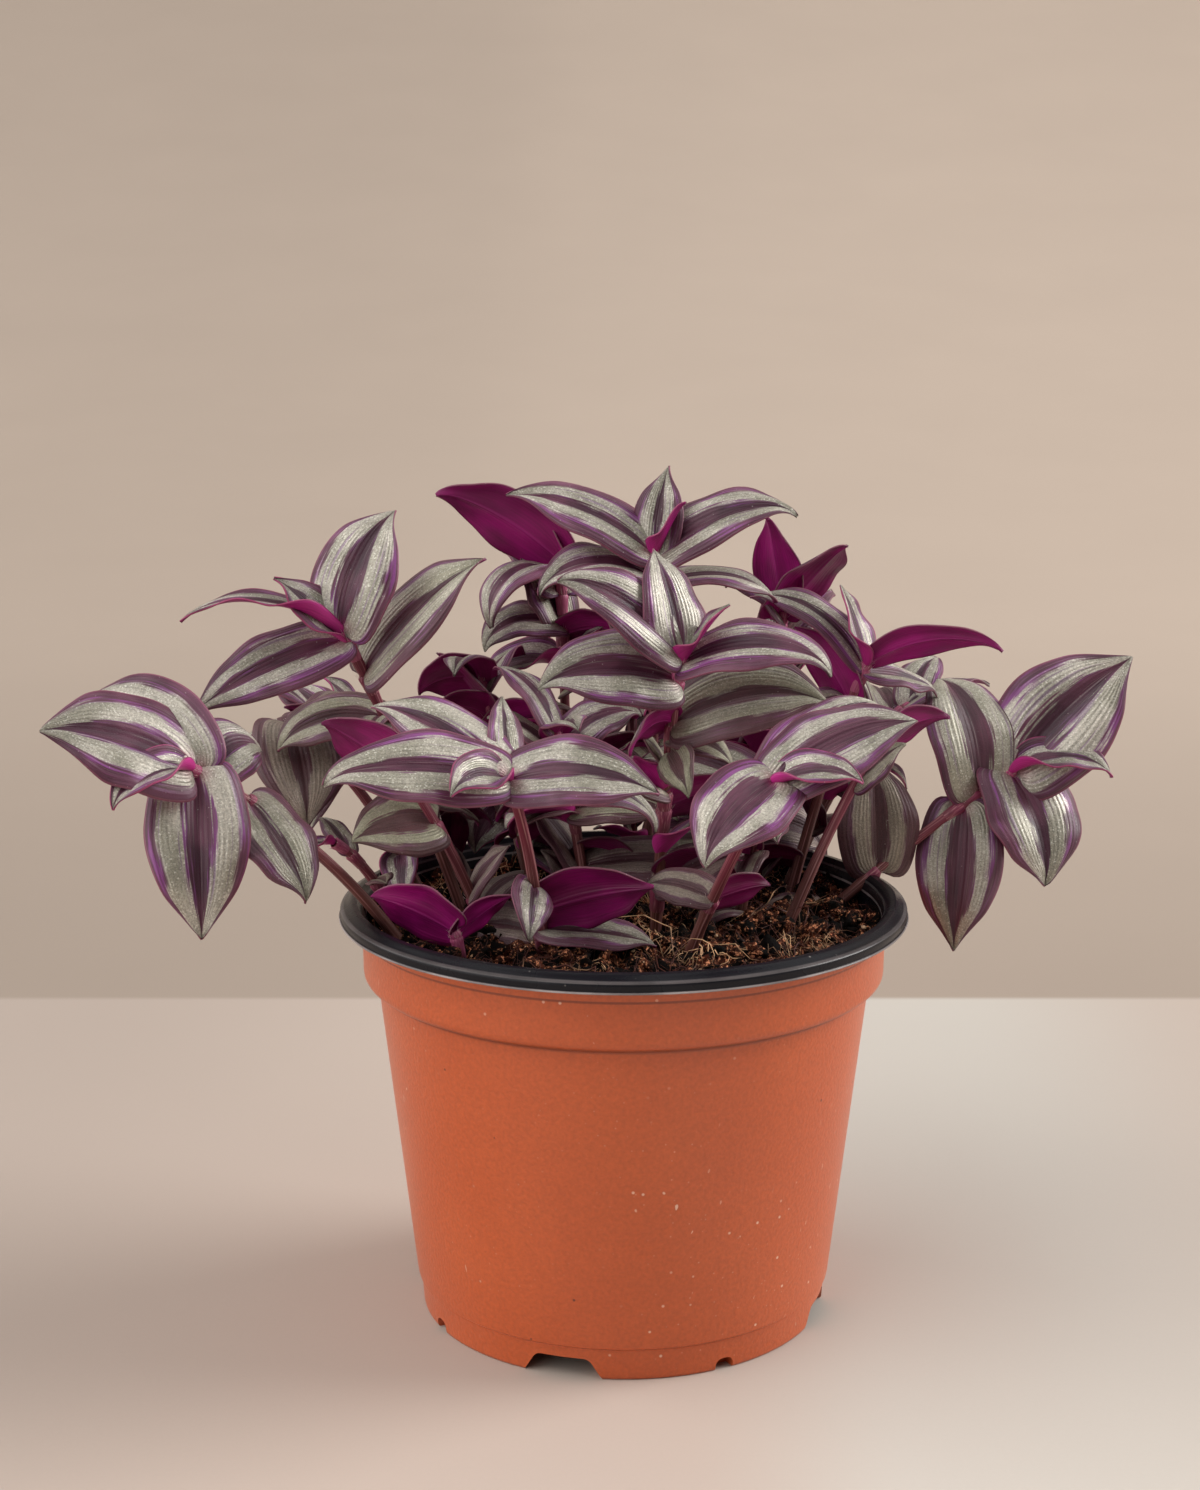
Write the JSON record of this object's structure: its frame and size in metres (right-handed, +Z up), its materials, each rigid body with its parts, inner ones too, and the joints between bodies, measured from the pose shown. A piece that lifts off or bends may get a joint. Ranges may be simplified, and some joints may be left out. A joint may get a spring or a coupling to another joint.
{
  "type": "potted tradescantia",
  "caption": "Striped trailing tradescantia with purple undersides, in a round tapered plastic nursery pot with a rolled dark rim, filled with potting mix.",
  "frame": {"origin": "on the surface the pot stands on, at the pot's axis, under the middle of the whole plant", "axes": "+Z up, +X along the plant's widest spread, -Y towards the pictured front"},
  "size_m": [0.2757, 0.1706, 0.223],
  "materials": {
    "pot_plastic": "satin moulded, fine grain",
    "potting_mix": "loose brown fibre",
    "foliage": "satin, striped silver and purple"
  },
  "bodies": {
    "root": {"pot": "pot_plastic", "soil": "potting_mix", "shoot_far_left": "foliage", "shoot_left": "foliage", "shoot_top": "foliage", "shoot_centre": "foliage", "shoot_front_left": "foliage", "shoot_front_right": "foliage", "shoot_far_right": "foliage", "shoot_right": "foliage", "shoot_back_left": "foliage", "shoot_back_right": "foliage", "shoot_low_left": "foliage", "shoot_hanging_left": "foliage", "shoot_small_left": "foliage", "shoot_low_front": "foliage", "shoot_inner_left": "foliage", "shoot_inner_middle": "foliage", "shoot_inner_right": "foliage", "shoot_hanging_right": "foliage", "shoot_rear_far_left": "foliage", "shoot_rear_left": "foliage", "shoot_rear_middle": "foliage", "shoot_rear_right": "foliage", "shoot_rear_far_right": "foliage"}
  },
  "joints": []
}
